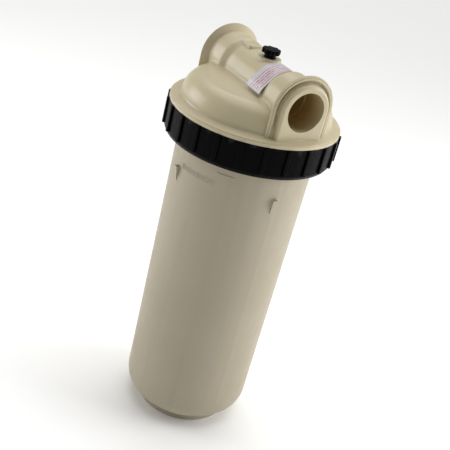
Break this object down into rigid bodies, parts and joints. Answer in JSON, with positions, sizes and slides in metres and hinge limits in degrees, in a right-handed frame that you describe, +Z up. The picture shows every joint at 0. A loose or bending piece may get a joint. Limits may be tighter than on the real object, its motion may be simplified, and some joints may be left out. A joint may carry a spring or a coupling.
{
  "type": "cartridge filter housing",
  "caption": "In-line cartridge filter housing: domed head with two pipe sockets, threaded lock ring, tall canister, pleated cartridge, air relief screw and drain plug.",
  "frame": {"origin": "centre of the foot's resting face", "axes": "+Z up the canister; +X out of the inlet socket, -X out of the outlet socket"},
  "size_m": [0.2194, 0.2194, 0.5247],
  "materials": {
    "head": "glossy moulded, cream",
    "canister": "fine matte moulded, beige",
    "lock_ring": "satin black moulded",
    "knob": "satin black moulded",
    "nozzle": "plain moulded, dark grey",
    "plug": "satin black moulded",
    "seal": "smooth moulded rubber",
    "label": null,
    "cap": "moulded polyurethane",
    "core": "perforated moulded tube",
    "media": "pleated spun-bonded sheet",
    "band": "flat strap"
  },
  "bodies": {
    "head": {"head": "head", "outlet_nozzle": "nozzle", "label": "label"},
    "canister": {"canister": "canister", "head_o_ring": "seal"},
    "lock_ring": {"lock_ring": "lock_ring"},
    "cartridge": {"cartridge_top_cap": "cap", "cartridge_bottom_cap": "cap", "cartridge_core": "core", "cartridge_pleats": "media", "cartridge_band_lower": "band", "cartridge_band_middle": "band", "cartridge_band_upper": "band"},
    "relief_seal": {"relief_o_ring": "seal"},
    "relief_screw": {"air_relief_screw": "knob"},
    "drain_seal": {"drain_o_ring": "seal"},
    "drain_screw": {"drain_plug": "plug"}
  },
  "joints": [
    {"name": "canister_drop", "type": "slide", "parent": "head", "child": "canister", "axis": [0, 0, -1], "range_m": [0, 0.027]},
    {"name": "lock_ring_turn", "type": "hinge", "parent": "canister", "child": "lock_ring", "pos_m": [0, 0, 0.4], "axis": [0, 0, -1], "range_deg": [0, 540]},
    {"name": "cartridge_lift", "type": "slide", "parent": "canister", "child": "cartridge", "axis": [0, 0, 1], "range_m": [0, 0.05]},
    {"name": "relief_rise", "type": "slide", "parent": "head", "child": "relief_seal", "axis": [0, 0, 1], "range_m": [0, 0.006]},
    {"name": "relief_turn", "type": "hinge", "parent": "relief_seal", "child": "relief_screw", "pos_m": [0, 0, 0.512], "axis": [0, 0, 1], "range_deg": [0, 1080]},
    {"name": "drain_drop", "type": "slide", "parent": "canister", "child": "drain_seal", "axis": [0, 0, -1], "range_m": [0, 0.004]},
    {"name": "drain_turn", "type": "hinge", "parent": "drain_seal", "child": "drain_screw", "pos_m": [0, 0, 0.012], "axis": [0, 0, -1], "range_deg": [0, 720]}
  ],
  "couplings": [
    {"joint": "canister_drop", "follows": "lock_ring_turn", "m_per_rad": 0.0028648},
    {"joint": "relief_rise", "follows": "relief_turn", "m_per_rad": 0.00031831},
    {"joint": "drain_drop", "follows": "drain_turn", "m_per_rad": 0.00031831}
  ]
}
